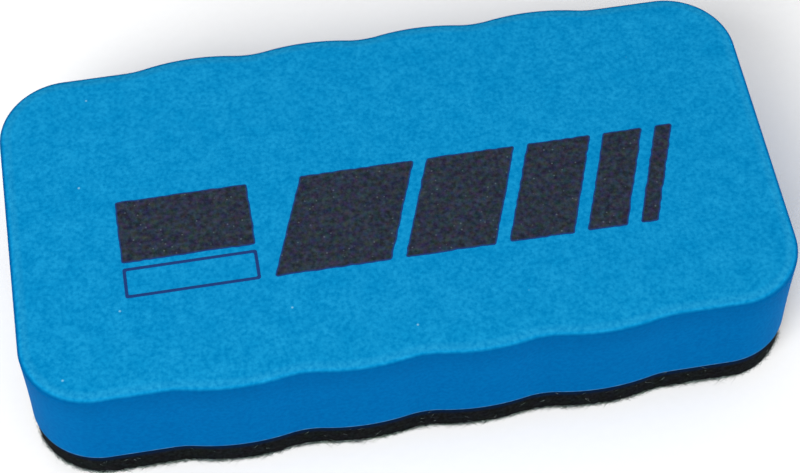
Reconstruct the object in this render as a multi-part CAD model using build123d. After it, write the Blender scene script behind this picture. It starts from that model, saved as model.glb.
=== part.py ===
from build123d import *
import os
from math import radians, tan

# Magnetic dry-wipe board eraser: a die-cut block of EVA foam that the hand holds, a black
# needle-felt pad stuck to its underside, and two ferrite magnets let into the foam.
# Millimetres. The origin is the centre of the wiping face. +X runs along the length,
# +Y across it and +Z up through the felt and the foam.

# --- The cut outline, the same for the foam and the felt -----------------------------
length = 110.0              # over the two straight ends
flat_width = 54.8           # between the straight stretches of the two long sides
corner_radius = 10.0
lobe_count = 4              # finger lobes along each long side
lobe_margin = 11.0          # straight stretch between a corner and the first lobe
lobe_rise = 1.15            # how far a lobe's crest stands out of the straight side
valley_depth = 1.1          # from the crests down to where two lobes cross
valley_radius = 14.0        # rounds the valleys and the two run-outs

# --- The layers, from the wiping face up ---------------------------------------------
felt_thickness = 4.5
film_thickness = 0.2        # contact adhesive between the felt and the foam
film_inset = 0.6            # the adhesive stops short of the cut edge
foam_thickness = 15.8
top_edge_radius = 0.8
ink_thickness = 0.06

# --- Magnets in blind pockets in the underside of the foam ---------------------------
magnet_diameter = 20.0
magnet_thickness = 3.0
magnet_spacing = 56.0       # between the two centres
magnet_clearance = 0.25     # all round each disc
glue_thickness = 0.4        # hot-melt between a disc and the roof of its pocket

# --- Printed mark: a small eraser and the strokes that it wipes away -----------------
mark_centre = (1.4, -3.8)
mark_height = 16.2
ink_line = 0.45             # width of the thin lines
ink_corner = 0.35           # small rounding of every printed corner
icon_width = 19.0
icon_block_height = 10.4
icon_gap = 0.9              # between the block and the strip under it
stroke_widths = (16.6, 13.0, 9.4, 5.8, 2.6)
stroke_gap = 1.9
stroke_slant = 20.0         # degrees from upright

# --- Worked out from the values above ------------------------------------------------
half_width = flat_width / 2
lobe_pitch = (length - 2 * corner_radius - 2 * lobe_margin) / lobe_count
lobe_radius = (lobe_pitch**2 / 4 + valley_depth**2) / (2 * valley_depth)
film_bottom = felt_thickness
foam_bottom = film_bottom + film_thickness
foam_top = foam_bottom + foam_thickness
pocket_depth = magnet_thickness + glue_thickness
magnet_places = {"left": -magnet_spacing / 2, "right": magnet_spacing / 2}


def lobe_row(side, inset):
    """The lobes of one long side: equal circles in a row, cut off just inside the side."""
    crest = half_width + lobe_rise - inset
    band = Pos(0, side * (crest - lobe_rise)) * Rectangle(length, 2 * lobe_rise)
    row = Sketch()
    for i in range(lobe_count):
        x = (i - (lobe_count - 1) / 2) * lobe_pitch
        circle = Circle(lobe_radius - inset)
        row += Pos(x, side * (half_width + lobe_rise - lobe_radius)) * circle & band
    return row


def cut_outline(inset=0.0):
    """Rounded rectangle with the finger lobes, its valleys and run-outs rounded."""
    size = (length - 2 * inset, flat_width - 2 * inset)
    outline = RectangleRounded(*size, corner_radius - inset)
    outline += lobe_row(1, inset) + lobe_row(-1, inset)
    straight_end = length / 2 - corner_radius
    sharp = [v for v in outline.vertices() if abs(v.X) < straight_end - lobe_margin / 2]
    return fillet(sharp, valley_radius + inset)


def layer(bottom, thickness, inset=0.0):
    """One flat layer of the stack with the cut outline, or that outline drawn in a little."""
    return extrude(Pos(0, 0, bottom) * cut_outline(inset), thickness)


def disc(x, bottom, diameter, thickness):
    """Upright disc that stands on the height given."""
    return Pos(x, 0, bottom) * extrude(Circle(diameter / 2), thickness)


def foam_body():
    """Foam block with a softened top edge and a blind pocket for each magnet."""
    block = layer(foam_bottom, foam_thickness)
    block = fillet(block.faces().sort_by(Axis.Z)[-1].edges(), top_edge_radius)
    for x in magnet_places.values():
        block -= disc(x, foam_bottom, magnet_diameter + 2 * magnet_clearance, pocket_depth)
    return block


def rounded_box(x, y, width, height, corner=ink_corner):
    """Rectangle in the plane, given by its lower left corner."""
    return Pos(x + width / 2, y + height / 2) * RectangleRounded(width, height, corner)


def printed_mark():
    """Ink film on the foam: solid block, outlined strip, and fading slanted strokes."""
    shift = mark_height * tan(radians(stroke_slant))
    strokes_width = sum(stroke_widths) + stroke_gap * len(stroke_widths) + shift
    left = mark_centre[0] - (icon_width + strokes_width) / 2
    low = mark_centre[1] - mark_height / 2
    strip_height = mark_height - icon_block_height - icon_gap
    inner = (icon_width - 2 * ink_line, strip_height - 2 * ink_line)
    strip = rounded_box(left, low, icon_width, strip_height)
    strip -= rounded_box(left + ink_line, low + ink_line, *inner, ink_corner / 2)
    block = rounded_box(left, low + strip_height + icon_gap, icon_width, icon_block_height)
    inked = [strip, block]
    x = left + icon_width + stroke_gap
    for width in stroke_widths:
        corners = [(0, 0), (width, 0), (width + shift, mark_height), (shift, mark_height)]
        stroke = make_face(Polyline([(x + u, low + v) for u, v in corners], close=True))
        inked.append(fillet(stroke.vertices(), ink_corner))
        x += width + stroke_gap
    return Compound([extrude(Pos(0, 0, foam_top) * shape, ink_thickness) for shape in inked])


parts = {
    "felt_pad": layer(0, felt_thickness),
    "felt_adhesive": layer(film_bottom, film_thickness, film_inset),
    "foam_body": foam_body(),
    "printed_mark": printed_mark(),
}
for name, x in magnet_places.items():
    parts[f"magnet_{name}"] = disc(x, foam_bottom, magnet_diameter, magnet_thickness)
    glue_bottom = foam_bottom + magnet_thickness
    parts[f"magnet_glue_{name}"] = disc(x, glue_bottom, magnet_diameter, glue_thickness)

os.makedirs("parts", exist_ok=True)
for name, shape in parts.items():
    export_step(shape, f"parts/{name}.step")
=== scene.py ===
# %% [markdown]
# # A magnetic board eraser
#
# The object is a hand-held eraser for a dry-wipe board: a block of blue closed-cell foam with
# finger lobes cut along both long sides, a printed mark on its top, and a black felt pad under
# it. Two disc magnets sit inside the foam. The CAD model gives the main sizes and every place,
# and this file gives the looks: how cut foam, frayed felt and thin ink catch the light.
#
# The first cell loads the CAD model as a fixed frame.

# %% Load the frame
import bmesh
import bpy
import numpy as np
from mathutils import Matrix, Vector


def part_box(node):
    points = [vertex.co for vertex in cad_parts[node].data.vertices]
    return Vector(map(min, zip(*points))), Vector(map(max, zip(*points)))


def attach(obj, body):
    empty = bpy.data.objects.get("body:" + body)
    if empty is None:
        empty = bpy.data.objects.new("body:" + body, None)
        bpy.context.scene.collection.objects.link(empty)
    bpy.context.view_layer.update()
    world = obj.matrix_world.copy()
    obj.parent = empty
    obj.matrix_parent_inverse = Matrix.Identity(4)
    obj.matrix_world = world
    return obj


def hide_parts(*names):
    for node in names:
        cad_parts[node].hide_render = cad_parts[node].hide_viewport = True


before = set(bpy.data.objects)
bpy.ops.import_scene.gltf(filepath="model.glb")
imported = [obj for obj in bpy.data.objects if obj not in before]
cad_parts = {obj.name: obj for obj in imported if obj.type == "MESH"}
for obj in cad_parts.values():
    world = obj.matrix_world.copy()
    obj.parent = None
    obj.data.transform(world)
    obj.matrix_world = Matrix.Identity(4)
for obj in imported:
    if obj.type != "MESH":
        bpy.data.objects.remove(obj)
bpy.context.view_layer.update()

MM = 0.001
print("CAD nodes:", sorted(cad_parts))

# %% [markdown]
# ## Camera
#
# The eraser is seen from above its near long side, with a long lens, so its far side is only a
# little shorter than its near side. A camera looks along its own -Z with +Y up, so its axes can
# be worked out from where it stands, the point that it aims at and how far it is rolled. That
# is easier to read, and to change, than three Euler angles.

# %% Camera
camera_place = np.array([-26.4, -166.3, 271.3]) * MM
camera_aim = np.array([0.86, -1.68, 10.0]) * MM
camera_roll = np.radians(-0.35)
camera_lens = 94.7

back = camera_place - camera_aim
back /= np.linalg.norm(back)
level = np.cross([0, 0, 1], back)
level /= np.linalg.norm(level)
upright = np.cross(back, level)
right = level * np.cos(camera_roll) + upright * np.sin(camera_roll)

camera = bpy.data.objects.new("camera", bpy.data.cameras.new("camera"))
camera.data.lens = camera_lens
axes = np.eye(4)
axes[:3, :4] = np.column_stack([right, np.cross(back, right), back, camera_place])
camera.matrix_world = Matrix(axes.tolist())
bpy.context.scene.collection.objects.link(camera)
bpy.context.scene.camera = camera
print("distance to the eraser in mm:", round(np.linalg.norm(camera_place - camera_aim) / MM))

# %% [markdown]
# ## Two small tools for materials
#
# A hex colour, as a paint or a web page gives it, is stored with a curve that suits the eye.
# Shaders add and multiply light, so they need linear values, and one function turns one into
# the other. A second function adds a shader node with its settings and links. A pattern's
# scale is a number of repeats per metre, so the size of one repeat in millimetres is turned
# over to get it.

# %% Colour and node tools
def linear(hex_colour):
    """sRGB hex to linear RGBA: c / 12.92 near black, and ((c + 0.055) / 1.055) ** 2.4 above."""
    srgb = np.array([int(hex_colour[i:i + 2], 16) for i in (1, 3, 5)]) / 255
    rgb = np.where(srgb <= 0.04045, srgb / 12.92, ((srgb + 0.055) / 1.055) ** 2.4)
    return (*rgb.tolist(), 1.0)


def new_material(name):
    """An empty node material and its Principled shader."""
    material = bpy.data.materials.new(name)
    material.use_nodes = True
    return material, material.node_tree.nodes["Principled BSDF"]


def add_node(material, kind, inputs=None, **settings):
    """Adds a node. Each input is given a plain value, or another node's output to link to."""
    node = material.node_tree.nodes.new(kind)
    for name, value in settings.items():
        setattr(node, name, value)
    connect(material, node, inputs or {})
    return node


def connect(material, node, inputs):
    """Sets or links a node's inputs, by name or by number."""
    for key, value in inputs.items():
        if isinstance(value, bpy.types.NodeSocket):
            material.node_tree.links.new(value, node.inputs[key])
        else:
            node.inputs[key].default_value = value


def repeats(size_mm):
    """Texture scale that makes one repeat of a pattern this many millimetres wide."""
    return 1 / (size_mm * MM)


MIX_A, MIX_B, MIX_OUT = 6, 7, 2     # the colour sockets of a Mix node
print("mid grey #808080 in linear light:", round(linear("#808080")[0], 3))

# %% [markdown]
# ## The cut outline
#
# Foam and felt are laminated as sheets and then punched out together with one steel-rule die,
# so they share an outline: a rounded rectangle with four shallow finger lobes on each long
# side. The die is bent from strip steel, which makes it a row of tangent arcs. Each lobe is an
# arc, each valley between two lobes is a smaller arc the other way, and so is each run-out from
# the last lobe to the straight part. The long side is the only stretch with a shape of its own,
# so it gets a function first.

# %% Long side of the die
corner_radius = 10.0
lobe_count = 4
lobe_pitch = 17.0
lobe_rise = 1.15
valley_depth = 1.1
valley_radius = 14.0

(low_x, low_y, foam_bottom), (high_x, high_y, foam_top) = np.array(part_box("foam_body")) / MM
half_length = (high_x - low_x) / 2
flat_half_width = (high_y - low_y) / 2 - lobe_rise
lobe_radius = (lobe_pitch**2 / 4 + valley_depth**2) / (2 * valley_depth)


def long_side(x):
    """Distance of the long side's edge from the centre line, at x.

    Lobe arc of radius R about the nearest lobe's centre, valley arc of radius r between two
    lobes, and an equal arc that runs out to the straight part. Each small arc's centre is
    R + r away from its lobes' centres.
    """
    x = np.abs(x)
    centre_height = flat_half_width + lobe_rise - lobe_radius
    last = (lobe_count - 1) / 2 * lobe_pitch
    lobe = np.minimum((np.floor(x / lobe_pitch) + 0.5) * lobe_pitch, last)
    reach = np.minimum(np.abs(x - lobe), lobe_radius)
    edge = centre_height + np.sqrt(lobe_radius**2 - reach**2)

    between = lobe_radius + valley_radius
    valley = np.round(x / lobe_pitch) * lobe_pitch
    off = np.minimum(np.abs(x - valley), valley_radius)
    valley_height = centre_height + np.sqrt(between**2 - lobe_pitch**2 / 4)
    in_valley = (off < valley_radius * lobe_pitch / 2 / between) & (valley < last)
    edge = np.where(in_valley, valley_height - np.sqrt(valley_radius**2 - off**2), edge)

    run_out = last + np.sqrt(between**2 - (between - lobe_rise) ** 2)
    run_start = last + (run_out - last) * lobe_radius / between
    off = np.clip(run_out - x, 0, valley_radius)
    arc = flat_half_width + valley_radius - np.sqrt(valley_radius**2 - off**2)
    return np.where(x > run_start, arc, edge)


print("crest and straight part in mm:", np.round(long_side(np.array([8.5, 40.0])), 2))

# %% [markdown]
# ## Once round the die
#
# A quarter of the outline is worked out and mirrored twice. Its points are spread evenly along
# it, and each has an outward normal, so that any shape can be carried round the edge.

# %% Outline of the die
outline_points = 720


def even_points(line, count):
    """Points spread evenly along a closed line, whose last point meets its first."""
    walked = np.concatenate([[0], np.cumsum(np.linalg.norm(np.diff(line, axis=0), axis=1))])
    even = np.linspace(0, walked[-1], count, endpoint=False)
    return np.column_stack([np.interp(even, walked, line[:, i]) for i in (0, 1)])


def cut_outline(count):
    """Points round the die's outline, anticlockwise from the middle of the near side."""
    straight_x = half_length - corner_radius
    straight_y = flat_half_width - corner_radius
    near_x = np.linspace(0, straight_x, 2000)
    near = np.column_stack([near_x, -long_side(near_x)])
    turn = np.linspace(-np.pi / 2, 0, 500)
    corner = np.column_stack([
        straight_x + corner_radius * np.cos(turn),
        -straight_y + corner_radius * np.sin(turn),
    ])
    end = np.array([[half_length, -straight_y], [half_length, 0]])
    quarter = np.vstack([near, corner[1:], end[1:]])
    half = np.vstack([quarter, quarter[-2::-1] * [1, -1]])
    whole = np.vstack([half, half[-2::-1] * [-1, 1]])
    return even_points(whole, count)


def outward(points):
    """Outward normals of an anticlockwise closed line: its direction turned a quarter right."""
    along = np.roll(points, -1, axis=0) - np.roll(points, 1, axis=0)
    along /= np.linalg.norm(along, axis=1, keepdims=True)
    return np.column_stack([along[:, 1], -along[:, 0]])


outline = cut_outline(outline_points)
outline_normals = outward(outline)
perimeter = np.linalg.norm(np.roll(outline, -1, axis=0) - outline, axis=1).sum()
print("outline:", outline_points, "points,", round(perimeter, 1), "mm round")

# %% [markdown]
# ## From rings of points to a closed piece
#
# Every soft piece here is a skin of rings. A ring is the outline drawn in or let out a little
# and lifted to some height. Where a flat face has to close, the rings shrink to a line along its
# middle, the spine, which gives even quads and no fan of thin triangles.

# %% Rings
def ring(inset, height, base=None):
    """The outline moved inwards along its normals by inset, at one height."""
    points, normals = base or (outline, outline_normals)
    flat = points - normals * np.reshape(inset, (-1, 1))
    return np.column_stack([flat, np.broadcast_to(height, len(flat))])


def shrink(edge_ring, goal, steps):
    """Rings that shrink from an edge ring to a goal: edge + t * (goal - edge), t up to 1."""
    share = np.linspace(0, 1, steps + 1)[1:, None, None]
    flat = edge_ring[:, :2] + share * (goal - edge_ring[:, :2])
    heights = np.broadcast_to(edge_ring[:, 2:], (*flat.shape[:2], 1))
    return np.concatenate([flat, heights], axis=2)


def spine_of(points):
    """Nearest points of the spine, the line along the middle that the rings close on."""
    half_spine = half_length - flat_half_width
    return np.column_stack([np.clip(points[:, 0], -half_spine, half_spine), 0 * points[:, 0]])


print("spine:", round(2 * (half_length - flat_half_width), 1), "mm long")

# %% [markdown]
# ## Closing the skin
#
# Neighbouring rings are joined by quads. Points that fall together, as on the spine, are welded,
# and that leaves one closed skin. An edge with anything but two faces would be a hole or a
# stray face, so such edges are counted, and the count should be 0. A value for each point, such
# as how thick ink lies there, goes with the mesh as an attribute that a material can read.

# %% Closed pieces
sharp_edge = np.radians(50)     # edges sharper than this keep a hard shade


def grid_quads(grid, start):
    """Quads between neighbouring closed rings: each point, the next one round, and the ring on."""
    rings, around = grid.shape[:2]
    here = np.arange(around)
    onward = np.roll(here, -1)
    row = start + np.arange(rings - 1)[:, None] * around
    corners = [row + here, row + onward, row + around + onward, row + around + here]
    return np.stack(corners, axis=-1).reshape(-1, 4)


def build_piece(name, grids, material, values=None, value_name="", weld_mm=0.004):
    """Welds grids of rings, in mm, into one closed smooth-shaded mesh with outward normals."""
    starts = np.cumsum([0] + [grid.shape[0] * grid.shape[1] for grid in grids])
    points = np.vstack([grid.reshape(-1, 3) for grid in grids]) * MM
    quads = np.vstack([grid_quads(grid, start) for grid, start in zip(grids, starts)])
    mesh = bpy.data.meshes.new(name)
    mesh.from_pydata(points.tolist(), [], quads.tolist())
    if values is not None:
        layer = mesh.attributes.new(value_name, "FLOAT", "POINT")
        layer.data.foreach_set("value", np.concatenate([v.ravel() for v in values]))
    weld = bmesh.new()
    weld.from_mesh(mesh)
    bmesh.ops.remove_doubles(weld, verts=weld.verts, dist=weld_mm * MM)
    bmesh.ops.recalc_face_normals(weld, faces=weld.faces)
    open_edges = sum(len(edge.link_faces) != 2 for edge in weld.edges)
    weld.to_mesh(mesh)
    weld.free()
    mesh.polygons.foreach_set("use_smooth", [True] * len(mesh.polygons))
    mesh.set_sharp_from_angle(angle=sharp_edge)
    mesh.materials.append(material)
    piece = bpy.data.objects.new(name, mesh)
    bpy.context.scene.collection.objects.link(piece)
    triangles = sum(len(face.vertices) - 2 for face in mesh.polygons)
    print(f"{name}: {triangles} triangles, {open_edges} open edges")
    return piece


print("quads in a band between two rings:", len(grid_quads(np.zeros((2, outline_points, 3)), 0)))

# %% [markdown]
# ## Foam: a skived face and a die-cut edge
#
# The block is ethylene-vinyl acetate foam, EVA, in closed cells of about 0.3 mm, dyed right
# through. Its top was skived, sliced off a thicker bun, so the blade opened a layer of cells.
# Their thin walls scatter white light, and the face looks paler, with a fine speckle. The sides
# were cut by the die, which presses the cells shut, so they are smoother and deeper in colour.
# Their colour is darkened further as painted shade, most just under the rim, and lightened a
# little towards the bottom as painted light bounced up from the floor. Where the blade came out
# it tore a thin lip, and that lip is painted pale as a highlight along the foam's lower edge.
#
# One material can show all of this if it knows where it is. An attribute says which colour goes
# where: 0 on the die-cut wall under the rim, 1 on the skived face, up to 2 on the bent rim, where
# a paler colour is a painted highlight, a little below 0 further down the wall, for the painted
# floor bounce, and -1 at the torn lip, for its painted highlight. EVA foam is matt, so its
# specular level is almost nothing.

# %% Foam material
foam_cells_mm = 0.58        # about twice the real cells, so that their grain shows
foam_mottle_mm = 3.0        # soft paler patches
foam_speck_mm = 9.0         # one bright speck, a torn cell, in each patch this wide
foam_finishes = {           # the darkest and the palest grain of each
    "skived": ("#0075AE", "#0B88BF"),
    "skived_pale": ("#037CB4", "#1892C7"),
    # the bent rim: paler than the skived face, a painted highlight along the rim
    "bent": ("#0C7BB0", "#2291C1"),
    # the die-cut wall: a real deeper tone, darkened further as painted shade
    "pressed_and_shaded": ("#004E85", "#00548C"),
    "pressed_and_shaded_pale": ("#005089", "#005790"),
    # lower on the wall: lighter, painted light bounced up from the floor
    "floor_bounce_lit": ("#00548F", "#005D97"),
    # the torn lip: pale, a painted highlight along the foam's lower edge
    "lip": ("#175C93", "#4A7798"),
}


def foam_material():
    """Dyed EVA foam, mixed by one attribute from its finishes and from painted highlight, shade and
    bounce light.
    """
    foam, shader = new_material("eva_foam")
    place = add_node(foam, "ShaderNodeTexCoord").outputs["Object"]
    finish_and_light = add_node(foam, "ShaderNodeAttribute", attribute_name="finish_and_light").outputs["Fac"]

    grain = {}
    for name, size_mm, detail in (("cells", foam_cells_mm, 2.0), ("mottle", foam_mottle_mm, 3.0)):
        noise = add_node(foam, "ShaderNodeTexNoise", {
            "Vector": place, "Scale": repeats(size_mm), "Detail": detail,
        }).outputs["Fac"]
        grain[name] = add_node(foam, "ShaderNodeMapRange", {
            "Value": noise, "From Min": 0.3, "From Max": 0.7,
        }).outputs["Result"]
    torn_cells = add_node(foam, "ShaderNodeTexVoronoi", {
        "Vector": place, "Scale": repeats(foam_speck_mm),
    }).outputs["Distance"]
    specks = add_node(foam, "ShaderNodeMapRange", {
        "Value": torn_cells, "From Min": 0.01, "From Max": 0.024, "To Min": 0.7, "To Max": 0.0,
    }).outputs["Result"]

    finish = {}
    for name, (dark, pale) in foam_finishes.items():
        finish[name] = add_node(foam, "ShaderNodeMix", {
            0: grain["cells"], MIX_A: linear(dark), MIX_B: linear(pale),
        }, data_type="RGBA").outputs[MIX_OUT]
    for name in ("skived", "pressed_and_shaded"):
        finish[name] = add_node(foam, "ShaderNodeMix", {
            0: grain["mottle"], MIX_A: finish[name], MIX_B: finish[name + "_pale"],
        }, data_type="RGBA").outputs[MIX_OUT]
    finish["skived"] = add_node(foam, "ShaderNodeMix", {
        0: specks, MIX_A: finish["skived"], MIX_B: linear("#83BFD8"),
    }, data_type="RGBA").outputs[MIX_OUT]

    # The wall colour, partly painted shade, is the ground. Over it go the skived face, the bent
    # rim's painted highlight, the painted floor bounce low on the wall and the lip's painted
    # highlight.
    colour = finish["pressed_and_shaded"]
    for name, low, high in (("skived", 0.0, 1.0), ("bent", 1.0, 2.0),
                            ("floor_bounce_lit", 0.0, -0.3), ("lip", -0.4, -1.0)):
        share = add_node(foam, "ShaderNodeMapRange", {
            "Value": finish_and_light, "From Min": low, "From Max": high,
        }).outputs["Result"]
        colour = add_node(foam, "ShaderNodeMix", {
            0: share, MIX_A: colour, MIX_B: finish[name],
        }, data_type="RGBA").outputs[MIX_OUT]
    bump = add_node(foam, "ShaderNodeBump", {
        "Height": grain["cells"], "Strength": 0.25, "Distance": 0.05 * MM,
    }).outputs["Normal"]
    connect(foam, shader, {
        "Base Color": colour, "Normal": bump, "Roughness": 0.5, "Specular IOR Level": 0.002,
    })
    return foam


eva_foam = foam_material()
print("foam material:", len(eva_foam.node_tree.nodes), "nodes")

# %% [markdown]
# ## Section of the foam
#
# A die squeezes foam as it cuts. The top edge bends over and the wall springs back into a very
# shallow waist, a little wider at the bottom. A bevelled box can't show that, so the section is
# a curve carried round the outline. The bent edge is a quarter of a superellipse, which starts
# to fall away early and ends in a tight corner. The wall under it leans out by a straight part
# and in by a parabola, and the torn lip hangs a little below it.

# %% Section of the foam
bend_in = 1.9               # how far in from the edge the top starts to bend
bend_down = 0.6
bend_power = 1.6            # 2 would be a plain ellipse, and less is closer to a bevel
bend_out = 0.05             # how far the bent edge stands out over the outline
bend_brightest = np.radians(38)     # turn of the bend where the painted highlight is strongest
bend_closing = np.radians(28)       # where the blade starts to press the cells shut
bend_closed = np.radians(74)        # where they are shut
flare = 0.30                # the bottom stands out by this much
waist = 0.08
lip_radius = 0.10
lip_height = 0.25
lip_hang = 0.13
lip_width = 0.5             # from its outer face to where the flat underside starts
wall_bounce_light = -0.3            # the attribute's value at the bottom of the wall, where a lighter colour is painted floor bounce


def foam_section():
    """(inset, height, opening) of each ring, from the flat top round to the underside.

    The bent edge is |x|^n + |y|^n = 1, as x = sin(a)^(2/n) and y = cos(a)^(2/n). The wall is
    4 * waist * d * (1 - d) in, less a flare that grows evenly with d, the share of the way down.
    """
    turn = np.linspace(0, np.pi / 2, 20)
    across, along = np.sin(turn) ** (2 / bend_power), np.cos(turn) ** (2 / bend_power)
    fade = np.clip((turn - bend_closing) / (bend_closed - bend_closing), 0, 1)
    # Over the bent rim the value rises towards 2, where a paler colour is a painted highlight.
    stretch = np.clip(turn / bend_brightest, 0, 1)
    bend = np.column_stack([
        bend_in * (1 - across) - bend_out,
        foam_top - bend_down * (1 - along),
        (1 + stretch) * (1 - fade**2 * (3 - 2 * fade)),
    ])
    wall_top, wall_bottom = foam_top - bend_down, foam_bottom - lip_hang + lip_radius
    lip_start = 1 - lip_height / (wall_top - wall_bottom)
    down = np.append(np.linspace(0, lip_start, 16)[1:], 1)
    wall = np.column_stack([
        waist * 4 * down * (1 - down) - bend_out - (flare - bend_out) * down,
        wall_top + (wall_bottom - wall_top) * down,
        np.where(down < 1, wall_bounce_light * np.minimum(down * 3, 1), -1),
    ])
    turn = np.linspace(0, np.pi / 2, 5)[1:]
    under = np.column_stack([
        -flare + lip_radius * (1 - np.cos(turn)),
        wall_bottom - lip_radius * np.sin(turn),
        np.full_like(turn, -1),
    ])
    back_up = [[-flare + lip_width, foam_bottom, 0.0]]
    return np.vstack([bend, wall, under, back_up])


section = foam_section()
print("rings down the foam's side:", len(section))

# %% [markdown]
# ## Foam block
#
# The section is carried round the outline, and the top closes on its spine. The underside has a
# blind pocket for each magnet. It is split in two halves, and in each one straight lines run
# from the pocket's mouth to the half's edge, which keeps the quads even.

# %% Foam block
pocket_clearance = 0.25


def pocket_half(side, rim, magnet, roof):
    """Half of the underside: rings from its edge to the pocket's mouth, up the wall, and shut."""
    half = outline_points // 2
    start = 0 if side > 0 else half
    edge = rim[np.arange(start, start + half + 1) % outline_points]
    middle = np.linspace(edge[-1], edge[0], 120)[1:-1]
    loop = np.vstack([edge, middle])
    centre = (np.array(magnet[0]) + magnet[1])[:2] / 2 / MM
    radius = (magnet[1][0] - magnet[0][0]) / 2 / MM + pocket_clearance
    spoke = loop[:, :2] - centre
    spoke *= radius / np.linalg.norm(spoke, axis=1, keepdims=True)
    mouth = np.column_stack([centre + spoke, loop[:, 2]])
    share = np.linspace(0, 1, 8)[:, None, None]
    flat = loop + share * (mouth - loop)
    up = np.array([mouth + [0, 0, rise] for rise in np.linspace(0, roof - foam_bottom, 4)[1:]])
    return np.concatenate([flat, up, shrink(up[-1], centre, 3)])


def foam_block():
    """The whole skin of the foam, closed, with its pockets."""
    around = np.array([ring(inset, height) for inset, height, _ in section])
    top = shrink(around[0], spine_of(outline), 26)[::-1]
    finish_and_light = np.concatenate([np.ones(len(top)), section[:, 2]])
    body = np.concatenate([top, around])
    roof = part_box("magnet_glue_left")[1][2] / MM
    halves = [
        pocket_half(side, around[-1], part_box(magnet), roof)
        for side, magnet in ((1, "magnet_right"), (-1, "magnet_left"))
    ]
    values = [np.repeat(finish_and_light, outline_points)] + [np.zeros(h.shape[:2]) for h in halves]
    return build_piece("foam_block", [body, *halves], eva_foam, values, "finish_and_light")


foam = foam_block()
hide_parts("foam_body")
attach(foam, "root")

# %% [markdown]
# ## Felt: matted black fibre
#
# The wiping pad is polyester needle felt. Barbed needles punch a web of loose fibres until they
# mat together, so there is no weave, only fibres in every direction, some of them a shade paler
# or browner. Black fibre swallows nearly all light. Noise of half a millimetre stands in for the
# matted tufts, and it also drives the bump. The felt's upper edge is painted navy: painted shade
# under the foam's lip, tinted blue by light bounced off the foam. An attribute, 1 at the joint
# and 0 a millimetre lower, says where. The same felt frays at its cut rim into single fibres with
# light all round them, so those get a paler grey of their own, painted light for that sheen.

# %% Felt materials
tuft_mm = 0.5               # coarser than the real fibres, so that the matting shows
tint_mm = 1.6


def felt_material(name, dark, pale, tint, bump_strength):
    """Polyester needle felt between two hex greys, with a slight tint that varies by clump."""
    felt, shader = new_material(name)
    place = add_node(felt, "ShaderNodeTexCoord").outputs["Object"]
    fibre = add_node(felt, "ShaderNodeTexNoise", {
        "Vector": place, "Scale": repeats(tuft_mm), "Detail": 4.0, "Roughness": 0.7,
    }).outputs["Fac"]
    clump = add_node(felt, "ShaderNodeTexNoise", {
        "Vector": place, "Scale": repeats(tint_mm), "Detail": 2.0,
    }).outputs["Color"]
    light = add_node(felt, "ShaderNodeMapRange", {
        "Value": fibre, "From Min": 0.4, "From Max": 0.8,
    }).outputs["Result"]
    black = add_node(felt, "ShaderNodeMix", {
        0: light, MIX_A: linear(dark), MIX_B: linear(pale),
    }, data_type="RGBA").outputs[MIX_OUT]
    tinted = add_node(felt, "ShaderNodeMix", {0: tint, MIX_A: black, MIX_B: clump},
                      data_type="RGBA", blend_type="OVERLAY").outputs[MIX_OUT]
    # Painted shade: a navy tint along the upper edge stands for the shadow under the foam's lip.
    navy_shade = add_node(felt, "ShaderNodeAttribute", attribute_name="navy_shade").outputs["Fac"]
    shade_tinted = add_node(felt, "ShaderNodeMix", {0: navy_shade, MIX_A: tinted, MIX_B: linear("#031832")},
                       data_type="RGBA").outputs[MIX_OUT]
    bump = add_node(felt, "ShaderNodeBump", {
        "Height": fibre, "Strength": bump_strength, "Distance": 0.15 * MM,
    }).outputs["Normal"]
    connect(felt, shader, {
        "Base Color": shade_tinted, "Normal": bump, "Roughness": 0.9, "Specular IOR Level": 0.02,
    })
    return felt


needle_felt = felt_material("needle_felt", "#0A0B0C", "#1C2022", 0.35, 0.8)
frayed_felt = felt_material("frayed_felt", "#45524F", "#A0AEA9", 0.15, 0.0)
print("felt materials:", needle_felt.name, frayed_felt.name)

# %% [markdown]
# ## Felt pad
#
# The pad is one closed slab with the die's outline, let out a little, because its edge stands
# proud of the foam. Felt doesn't cut as cleanly as foam: the cut edge is a little uneven from
# tuft to tuft, the adhesive pinches it in where it meets the foam, and it is ragged along the
# wiping face. Seeded noise moves the rings of the cut edge in and out. The noise is blurred
# through its Fourier transform, which makes it close on itself round the outline, so no seam
# shows.

# %% Felt pad
rng = np.random.default_rng(5)  # the one source of every random draw, here and below
felt_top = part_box("felt_pad")[1][2] / MM
felt_points = 1440
tuft_relief = 0.04          # hollows between the matted tufts of the wiping face
felt_proud = 0.36           # how far its edge stands out past the outline on the long sides
end_spring = 0.3            # share of that at its two ends
joint_pinch = 0.22          # how far the adhesive pulls the edge in at the foam
face_pinch = 0.12           # and how far wear rounds it off at the wiping face
tuft_noise = 0.03           # roughness of the edge from one tuft to the next
edge_noise = 0.035          # and over a few millimetres
face_ragged = 0.08          # how far single tufts stop short of the wiping face
navy_shade_height = 1.0          # how far below the joint the painted navy shade reaches
navy_shade_fade = 0.7            # and the height over which it fades


def smooth_noise(rings, around, reach):
    """Seeded noise that closes on itself, blurred over reach points and scaled to about +-1."""
    rough = rng.normal(size=(rings, around))
    waves = np.fft.rfft(rough, axis=1)
    waves *= np.exp(-0.5 * (np.arange(waves.shape[1]) * reach * 2 * np.pi / around) ** 2)
    soft = np.fft.irfft(waves, around, axis=1)
    return soft / soft.std()


def spring_back(normals):
    """How far the felt stands out: felt_proud on the sides, and a share of it at the ends."""
    return felt_proud * (1 - (1 - end_spring) * np.abs(normals[:, 0]))


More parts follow.
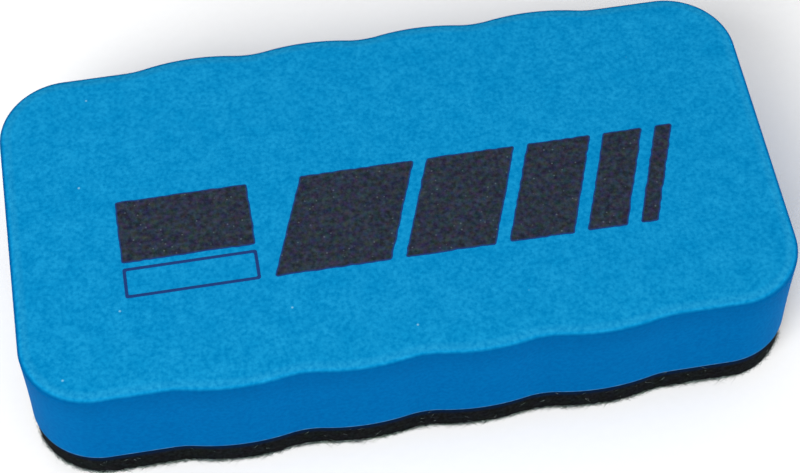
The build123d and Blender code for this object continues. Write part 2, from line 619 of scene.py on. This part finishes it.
def felt_pad():
    """Rings of the cut edge, inset = pinch at both ends + noise, closed by flat faces."""
    points = cut_outline(felt_points)
    base = (points, outward(points))
    up = np.linspace(0, 1, 16)
    pinch = face_pinch * (1 - up) ** 4 + joint_pinch * up**10
    heights = felt_top * up
    rough = tuft_noise * smooth_noise(len(up), felt_points, 1.2)
    rough += edge_noise * smooth_noise(1, felt_points, 8)
    insets = pinch[:, None] - spring_back(base[1]) + rough * (1.3 - up[:, None])
    lift = np.abs(face_ragged * smooth_noise(1, felt_points, 3)) * (1 - up[:, None]) ** 3
    side = np.array([ring(i, h + l, base) for i, h, l in zip(insets, heights, lift)])
    under = shrink(side[0], spine_of(points), 22)[::-1]
    out = np.linspace(0, 1, len(under))[:, None]
    tufts = np.abs(smooth_noise(len(under), felt_points, 5))
    under[..., 2] = under[..., 2] * out**8 + tuft_relief * tufts * 4 * out * (1 - out)
    over = shrink(side[-1], spine_of(points), 14)
    grid = np.concatenate([under, side, over])
    # the painted navy shade under the foam's lip, 1 at the joint
    navy_shade = np.clip((grid[..., 2] - felt_top + navy_shade_height) / navy_shade_fade, 0, 1)
    return build_piece("felt_pad_cut", [grid], needle_felt, [navy_shade], "navy_shade")


felt = felt_pad()
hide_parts("felt_pad")
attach(felt, "root")

# %% [markdown]
# ## Single fibres
#
# The die pulls single fibres out of the felt's cut edge. A hair system would do for them, but it
# is slow to export and hard to repeat exactly. Here every fibre is a tapered three-sided tube
# with one bend and a point, twelve triangles in all, and thousands of them are worked out at
# once as whole arrays.

# %% Fibre tubes
fibre_radius = 0.018                    # about twice a real fibre's, which is too fine to show
ring_shares = np.array([0.0, 0.55])     # where a tube's rings are, as a share of its length
ring_widths = np.array([1.0, 0.8])
lowest_point = 0.02                     # no fibre dips below this height


def fibre_tubes(roots, directions, lengths, droop):
    """Tapered tubes along root + s * direction, which sag by droop * s squared."""
    count = len(roots)
    line = roots[:, None] + directions[:, None] * (lengths[:, None] * ring_shares)[..., None]
    line[..., 2] -= (droop * lengths)[:, None] * ring_shares**2
    tip = roots + directions * lengths[:, None]
    tip[:, 2] -= droop * lengths
    side = np.cross(directions, rng.normal(size=(count, 3)))
    side /= np.linalg.norm(side, axis=1, keepdims=True)
    other = np.cross(directions, side)
    turn = np.arange(3) * 2 * np.pi / 3
    spread = np.cos(turn)[:, None] * side[:, None] + np.sin(turn)[:, None] * other[:, None]
    width = fibre_radius * ring_widths
    rings = line[:, :, None] + spread[:, None] * width[:, None, None]
    points = np.concatenate([rings.reshape(count, 6, 3), tip[:, None], roots[:, None]], axis=1)
    points[..., 2] = np.maximum(points[..., 2], lowest_point)
    wall = np.array([[i, (i + 1) % 3, 3 + (i + 1) % 3, 3 + i] for i in range(3)])
    ends = np.array([[3 + i, 3 + (i + 1) % 3, 6] for i in range(3)]
                    + [[(i + 1) % 3, i, 7] for i in range(3)])
    first = (np.arange(count) * 8)[:, None, None]
    faces = (wall + first).reshape(-1, 4).tolist() + (ends + first).reshape(-1, 3).tolist()
    return points.reshape(-1, 3), faces


print("fibre:", 2000 * fibre_radius, "micrometres thick at its root")

# %% [markdown]
# ## Frayed rim
#
# Most fibres come out along the wiping face, and handling combs them flat against it. Seeded
# random numbers choose where each one is rooted, which way it points and how long it is. A gamma
# draw suits lengths, because it is never negative and makes a few of them much longer than the
# rest. Its mean is its two numbers multiplied.

# %% Frayed rim
fibre_count = 12000
low_share = 0.985           # share of the fibres that fray at the wiping face
low_band = 0.4              # height of the band that those are rooted in
lowest_root = 0.03
root_depth = 0.06           # how deep in the felt's edge a fibre starts
out_draw = (4.0, 0.09)      # gamma draw of how far out a fibre turns, for 1 along the edge
length_draw = (5.0, 0.17)   # gamma draw of its length
rise_spread = 0.12          # spread of how steeply it leaves
most_droop = 0.3            # the most that it sags, as a share of its length


def felt_fray():
    """Fibres rooted in the cut edge: dense and combed flat at the wiping face, sparse above."""
    at = rng.integers(0, outline_points, fibre_count)
    height = np.where(rng.random(fibre_count) < low_share,
                      lowest_root + low_band * rng.random(fibre_count) ** 1.5,
                      felt_top * rng.random(fibre_count))
    out, along = outline_normals[at], np.roll(outline_normals[at], 1, axis=1) * [-1, 1]
    inset = face_pinch * (1 - height / felt_top) ** 4 - spring_back(out) + root_depth
    roots = np.column_stack([outline[at] - out * inset[:, None], height])
    way = rng.choice([-1.0, 1.0], size=(fibre_count, 1))
    flat = out * rng.gamma(*out_draw, (fibre_count, 1)) + along * way
    rise = rng.normal(scale=rise_spread, size=(fibre_count, 1))
    directions = np.column_stack([flat, rise])
    directions /= np.linalg.norm(directions, axis=1, keepdims=True)
    lengths = rng.gamma(*length_draw, fibre_count)
    droop = rng.random(fibre_count) * most_droop
    points, faces = fibre_tubes(roots, directions, lengths, droop)
    mesh = bpy.data.meshes.new("felt_fray")
    mesh.from_pydata((points * MM).tolist(), [], faces)
    mesh.materials.append(frayed_felt)
    fray = bpy.data.objects.new("felt_fray", mesh)
    bpy.context.scene.collection.objects.link(fray)
    print("felt_fray:", fibre_count, "fibres,", sum(len(f) - 2 for f in faces), "triangles")
    return fray


fray = felt_fray()
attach(fray, "root")

# %% [markdown]
# ## Pad-printing ink
#
# The mark on the top is pad-printed in one charcoal ink, which leaves a film of a few hundredths
# of a millimetre. The foam's open cells break it up into thin pinpricks, and the light they catch
# is painted into them as pale grey glints. Where the film runs out at its edges the blue shows
# through and turns it navy. An attribute called body holds how thick the ink lies, 0 at its edge
# and 1 inside, and the material is mixed by it.

# %% Ink material
ink_cells_mm = 0.55         # drawn coarser than the foam's real cells, as on the foam
ink_clump_mm = 0.9          # patches of a slightly different tint
pinprick_mm = 1.2           # one pinprick, a painted glint, in each patch this wide


def ink_material():
    """Charcoal pad-printing ink on open cells, navy where the film is thin."""
    ink, shader = new_material("pad_printing_ink")
    place = add_node(ink, "ShaderNodeTexCoord").outputs["Object"]
    body = add_node(ink, "ShaderNodeAttribute", attribute_name="body").outputs["Fac"]
    cells = add_node(ink, "ShaderNodeTexNoise", {
        "Vector": place, "Scale": repeats(ink_cells_mm), "Detail": 2.0,
    })
    light = add_node(ink, "ShaderNodeMapRange", {
        "Value": cells.outputs["Fac"], "From Min": 0.3, "From Max": 0.75,
    }).outputs["Result"]
    charcoal = add_node(ink, "ShaderNodeMix", {
        0: light, MIX_A: linear("#1C222E"), MIX_B: linear("#323A48"),
    }, data_type="RGBA").outputs[MIX_OUT]
    clump = add_node(ink, "ShaderNodeTexNoise", {
        "Vector": place, "Scale": repeats(ink_clump_mm),
    })
    tinted = add_node(ink, "ShaderNodeMix", {
        0: 0.85, MIX_A: charcoal, MIX_B: clump.outputs["Color"],
    }, data_type="RGBA", blend_type="OVERLAY").outputs[MIX_OUT]
    # Painted glints: pale grey pinpricks stand for light caught where the film is thin.
    pinpricks = add_node(ink, "ShaderNodeTexVoronoi", {
        "Vector": place, "Scale": repeats(pinprick_mm),
    })
    glint_share = add_node(ink, "ShaderNodeMapRange", {
        "Value": pinpricks.outputs["Distance"], "From Min": 0.06, "From Max": 0.14,
        "To Min": 0.26, "To Max": 0.0,
    }).outputs["Result"]
    glinted = add_node(ink, "ShaderNodeMix", {0: glint_share, MIX_A: tinted, MIX_B: linear("#819096")},
                       data_type="RGBA").outputs[MIX_OUT]
    colour = add_node(ink, "ShaderNodeMix", {0: body, MIX_A: linear("#183B76"), MIX_B: glinted},
                      data_type="RGBA").outputs[MIX_OUT]
    bump = add_node(ink, "ShaderNodeBump", {
        "Height": cells.outputs["Fac"], "Strength": 0.3, "Distance": 0.05 * MM,
    }).outputs["Normal"]
    connect(ink, shader, {
        "Base Color": colour, "Normal": bump, "Roughness": 0.6, "Specular IOR Level": 0.04,
    })
    return ink


printing_ink = ink_material()
print("ink material:", len(printing_ink.node_tree.nodes), "nodes")

# %% [markdown]
# ## Outline of an inked shape
#
# Every shape of the mark is a polygon with small round corners, because a film of ink has no
# sharp ones. Its edge creeps in and out a little along the cells.

# %% Inked outline
ink_corner = 0.35
ink_step = 0.18             # between points round an inked shape
ink_creep = 0.035           # how far the edge wanders along the cells


def rounded_polygon(corners, radius):
    """Even points round a convex polygon, anticlockwise, with an arc at each corner."""
    corners = np.array(corners, dtype=float)
    along = np.roll(corners, -1, axis=0) - corners
    along /= np.linalg.norm(along, axis=1, keepdims=True)
    leaving = np.column_stack([along[:, 1], -along[:, 0]])
    coming = np.roll(leaving, 1, axis=0)
    share = 1 + (leaving * coming).sum(axis=1, keepdims=True)
    centres = corners - radius * (leaving + coming) / share
    first = np.arctan2(coming[:, 1], coming[:, 0])
    turn = (np.arctan2(leaving[:, 1], leaving[:, 0]) - first) % (2 * np.pi)
    angle = first[:, None] + turn[:, None] * np.linspace(0, 1, 9)
    arcs = centres[:, None] + radius * np.stack([np.cos(angle), np.sin(angle)], axis=-1)
    line = np.vstack([arcs.reshape(-1, 2), arcs[0, :1]])
    length_round = np.linalg.norm(np.diff(line, axis=0), axis=1).sum()
    return even_points(line, int(length_round / ink_step))


def ragged(points):
    """The points moved in and out a little, as ink creeps along the cells at its edge."""
    creep = ink_creep * smooth_noise(1, len(points), 2)[0]
    return points + outward(points) * creep[:, None]


def box_corners(x, y, width, height):
    """The four corners of an upright rectangle, anticlockwise from its lower left."""
    return [(x, y), (x + width, y), (x + width, y + height), (x, y + height)]


print("points round 10 mm square:", len(rounded_polygon(box_corners(0, 0, 10, 10), ink_corner)))

# %% [markdown]
# ## Ink with a thickness
#
# A film with no thickness would be a decal. This one is a closed body that soaks a little way
# into the open cells, stands a little above them, and runs out thin towards its edge, so light
# catches its rim. A thin printed line is the same thing bent round into a band.

# %% Ink film
mark_low, mark_high = np.array(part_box("printed_mark")) / MM
ink_soak = 0.03             # how far the film sinks into the cells
ink_run_out = 0.03          # how much lower it lies at its edge


def ink_film(points):
    """A closed film: its bottom and its top both shrink from the edge to the middle."""
    points = ragged(points)
    base = (points, outward(points))
    centre = points.mean(axis=0)
    body = np.array([0.0, 0.0, 0.3, 0.7, 1.0])
    insets = np.array([0.0, 0.05, 0.13, 0.22, 0.31])
    heights = mark_high[2] - ink_run_out * (1 - body)
    over = np.array([ring(i, h, base) for i, h in zip(insets, heights)])
    low_edge = ring(0.0, foam_top - ink_soak, base)
    below = np.vstack([shrink(low_edge, centre, 6)[::-1], low_edge[None]])
    middle = shrink(over[-1], centre, 8)
    thickness = np.concatenate([np.zeros(len(below)), body, np.ones(len(middle))])
    grid = np.concatenate([below, over, middle])
    return grid, np.repeat(thickness[:, None], len(points), axis=1)


def ink_frame(outer, inner):
    """A thin printed line between two closed lines, as a closed band all round."""
    inner = even_points(np.vstack([inner, inner[:1]]), len(outer))
    middle = (outer + inner) / 2
    low, high = foam_top - ink_soak, mark_high[2]
    lines = [(outer, low), (outer, high - ink_run_out), (middle, high),
             (inner, high - ink_run_out), (inner, low), (outer, low)]
    grid = np.array([np.column_stack([line, np.full(len(line), z)]) for line, z in lines])
    thickness = np.array([0.0, 0.0, 0.25, 0.0, 0.0, 0.0])
    return grid, np.repeat(thickness[:, None], len(outer), axis=1)


print("ink stands", round(mark_high[2] - foam_top, 3), "mm above the foam")

# %% [markdown]
# ## Printed mark
#
# The mark is a pictogram: an eraser, as a solid block over an outlined strip, and beside it the
# slanted strokes that it wipes away, each narrower than the last.

# %% Printed mark
icon_width = 19.0
icon_block_height = 10.4
icon_gap = 0.9
ink_line = 0.45
stroke_widths = (16.6, 13.0, 9.4, 5.8, 2.6)
stroke_gap = 1.9
stroke_slant = np.radians(20.0)


def printed_mark():
    """Solid block over an outlined strip, then slanted strokes that grow narrower."""
    x, y = mark_low[:2]
    height = mark_high[1] - y
    strip_height = height - icon_block_height - icon_gap
    strip = rounded_polygon(box_corners(x, y, icon_width, strip_height), ink_corner)
    inside = rounded_polygon(
        box_corners(x + ink_line, y + ink_line, icon_width - 2 * ink_line,
                    strip_height - 2 * ink_line), ink_corner / 2)
    block = box_corners(x, y + strip_height + icon_gap, icon_width, icon_block_height)
    made = [ink_frame(strip, inside), ink_film(rounded_polygon(block, ink_corner))]
    shift = height * np.tan(stroke_slant)
    x += icon_width + stroke_gap
    for width in stroke_widths:
        corners = [(x, y), (x + width, y), (x + width + shift, y + height), (x + shift, y + height)]
        made.append(ink_film(rounded_polygon(corners, ink_corner)))
        x += width + stroke_gap
    grids, bodies = zip(*made)
    return build_piece("ink_print", grids, printing_ink, bodies, "body", weld_mm=0.0005)


print_piece = printed_mark()
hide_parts("printed_mark")
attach(print_piece, "root")

# %% [markdown]
# ## Hidden parts: magnets, glue and adhesive
#
# These CAD shapes are right as they are, so they stay and only get a finish. The magnets are
# ferrite, a sintered ceramic: charcoal grey, matt, with ground flat faces that keep a fine
# grain. Hot-melt glue is milky amber. The contact adhesive was brushed on and dried to a thin
# amber film with streaks along the stroke. Each is one noise between two colours, so one
# function makes all three, and the floor too. A stretched noise gives the streaks. All these
# grains are drawn coarser than real ones, so that they show.

# %% Materials of the hidden parts
def grained_material(name, dark, pale, size_mm, roughness, stretch=(1.0, 1.0, 1.0)):
    """Noise between two hex colours, one repeat of size_mm, drawn out along the low stretches."""
    made, shader = new_material(name)
    place = add_node(made, "ShaderNodeTexCoord").outputs["Object"]
    turned = add_node(made, "ShaderNodeMapping", {"Vector": place, "Scale": stretch})
    grain = add_node(made, "ShaderNodeTexNoise", {
        "Vector": turned.outputs["Vector"], "Scale": repeats(size_mm), "Detail": 3.0,
    }).outputs["Fac"]
    colour = add_node(made, "ShaderNodeMix", {0: grain, MIX_A: linear(dark), MIX_B: linear(pale)},
                      data_type="RGBA").outputs[MIX_OUT]
    bump = add_node(made, "ShaderNodeBump", {
        "Height": grain, "Strength": 0.3, "Distance": 0.05 * MM,
    }).outputs["Normal"]
    connect(made, shader, {"Base Color": colour, "Normal": bump, "Roughness": roughness})
    return made


def finish_node(node, material):
    """Gives a CAD node its material."""
    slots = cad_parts[node].data.materials
    slots.clear()
    slots.append(material)
    print(node, "->", material.name)


sintered_ferrite = grained_material("sintered_ferrite", "#26272A", "#46484C", 0.6, 0.55)
hot_melt_glue = grained_material("hot_melt_glue", "#C9A560", "#E4CE9A", 2.5, 0.35)
brushed_adhesive = grained_material(
    "brushed_contact_adhesive", "#8A6426", "#C39A4C", 1.5, 0.45, stretch=(0.15, 1.0, 1.0))
finish_node("felt_adhesive", brushed_adhesive)
for side in ("left", "right"):
    finish_node(f"magnet_{side}", sintered_ferrite)
    finish_node(f"magnet_glue_{side}", hot_melt_glue)

# %% [markdown]
# ## Floor
#
# The eraser stands on a wide sheet of matt white paper board, so its sides also get light from
# below, as they do on a real table. The floor isn't part of the object.

# %% Floor
floor_reach = 3.0
floor_drop = 0.02 * MM      # keeps it apart from the felt's flat face
paper_board = grained_material("paper_board", "#F9F9F9", "#FDFDFD", 1.2, 0.9)
paper_board.node_tree.nodes["Principled BSDF"].inputs["Specular IOR Level"].default_value = 0.1
floor_mesh = bpy.data.meshes.new("floor")
floor_corners = floor_reach * np.array([[-1, -1, 0], [1, -1, 0], [1, 1, 0], [-1, 1, 0]])
floor_corners[:, 2] = -floor_drop
floor_mesh.from_pydata(floor_corners.tolist(), [], [(0, 1, 2, 3)])
floor_mesh.materials.append(paper_board)
floor = bpy.data.objects.new("floor", floor_mesh)
bpy.context.scene.collection.objects.link(floor)
print("floor:", 2 * floor_reach, "m across")

# %% [markdown]
# ## Light
#
# A pale world gives most of the light, from everywhere, so shadows stay faint. One large soft
# box stands at the near left. It strikes the bent rim more squarely than the flat top, and that
# draws the bright line along the near edge. A small box low on the right keeps the right-hand
# end from going dull, and a broad faint one does the same for the far side. The Standard view
# transform leaves the white floor white.

# %% Lights
def softbox(name, place, size, power):
    """A square area light, place in metres, that faces the eraser."""
    lamp = bpy.data.lights.new(name, "AREA")
    lamp.size = size
    lamp.energy = power
    holder = bpy.data.objects.new(name, lamp)
    toward = -np.array(place) / np.linalg.norm(place)
    level = np.cross(toward, [0.0, 0.0, 1.0])
    level /= np.linalg.norm(level)
    lamp_axes = np.eye(4)
    lamp_axes[:3, :4] = np.column_stack([level, np.cross(level, toward), -toward, place])
    holder.matrix_world = Matrix(lamp_axes.tolist())
    bpy.context.scene.collection.objects.link(holder)
    print(name, "at", place, "m,", power, "W")


softbox("near_softbox", (-0.40, -0.50, 0.475), 0.525, 6.4)
softbox("right_softbox", (1.0, -0.15, 0.11), 0.2, 7.0)
softbox("back_softbox", (-0.2, 1.0, 0.35), 0.6, 2.3)
world = bpy.data.worlds.new("studio")
world.use_nodes = True
background = world.node_tree.nodes["Background"]
background.inputs["Color"].default_value = (1, 1, 1, 1)
background.inputs["Strength"].default_value = 0.54
bpy.context.scene.world = world
bpy.context.scene.view_settings.view_transform = "Standard"
